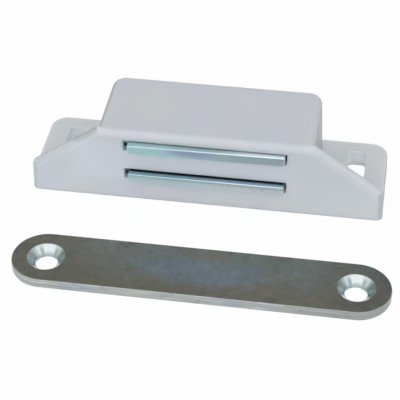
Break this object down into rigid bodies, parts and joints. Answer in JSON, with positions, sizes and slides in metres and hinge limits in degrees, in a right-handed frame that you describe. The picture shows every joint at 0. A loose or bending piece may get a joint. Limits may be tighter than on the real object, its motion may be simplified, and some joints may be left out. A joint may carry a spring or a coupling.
{
  "type": "magnetic catch",
  "caption": "Magnetic cupboard catch: moulded screw-on housing with a loose magnet pack between steel pole plates, and a countersunk steel strike plate.",
  "frame": {"origin": "on the housing's mounting face, midway between the two ear slots", "axes": "+X along the catch, -Y out of the housing's front towards the strike plate, +Z away from the mounting face"},
  "size_m": [0.0716, 0.0466, 0.0159],
  "materials": {
    "pale_plastic": "satin moulded",
    "zinc_plated_pole": "zinc plated",
    "ferrite": "sintered, dull",
    "zinc_plated_strike": "zinc plated, passivated"
  },
  "bodies": {
    "housing": {"housing": "pale_plastic", "strike_plate": "zinc_plated_strike"},
    "magnet_pack": {"upper_pole_plate": "zinc_plated_pole", "magnet": "ferrite", "lower_pole_plate": "zinc_plated_pole"}
  },
  "joints": [
    {"name": "pack_swivel", "type": "hinge", "parent": "housing", "child": "magnet_pack", "pos_m": [0.0003, -0.00446, 0.00945], "axis": [0, 0, 1], "range_deg": [-1.3, 0.3]}
  ]
}
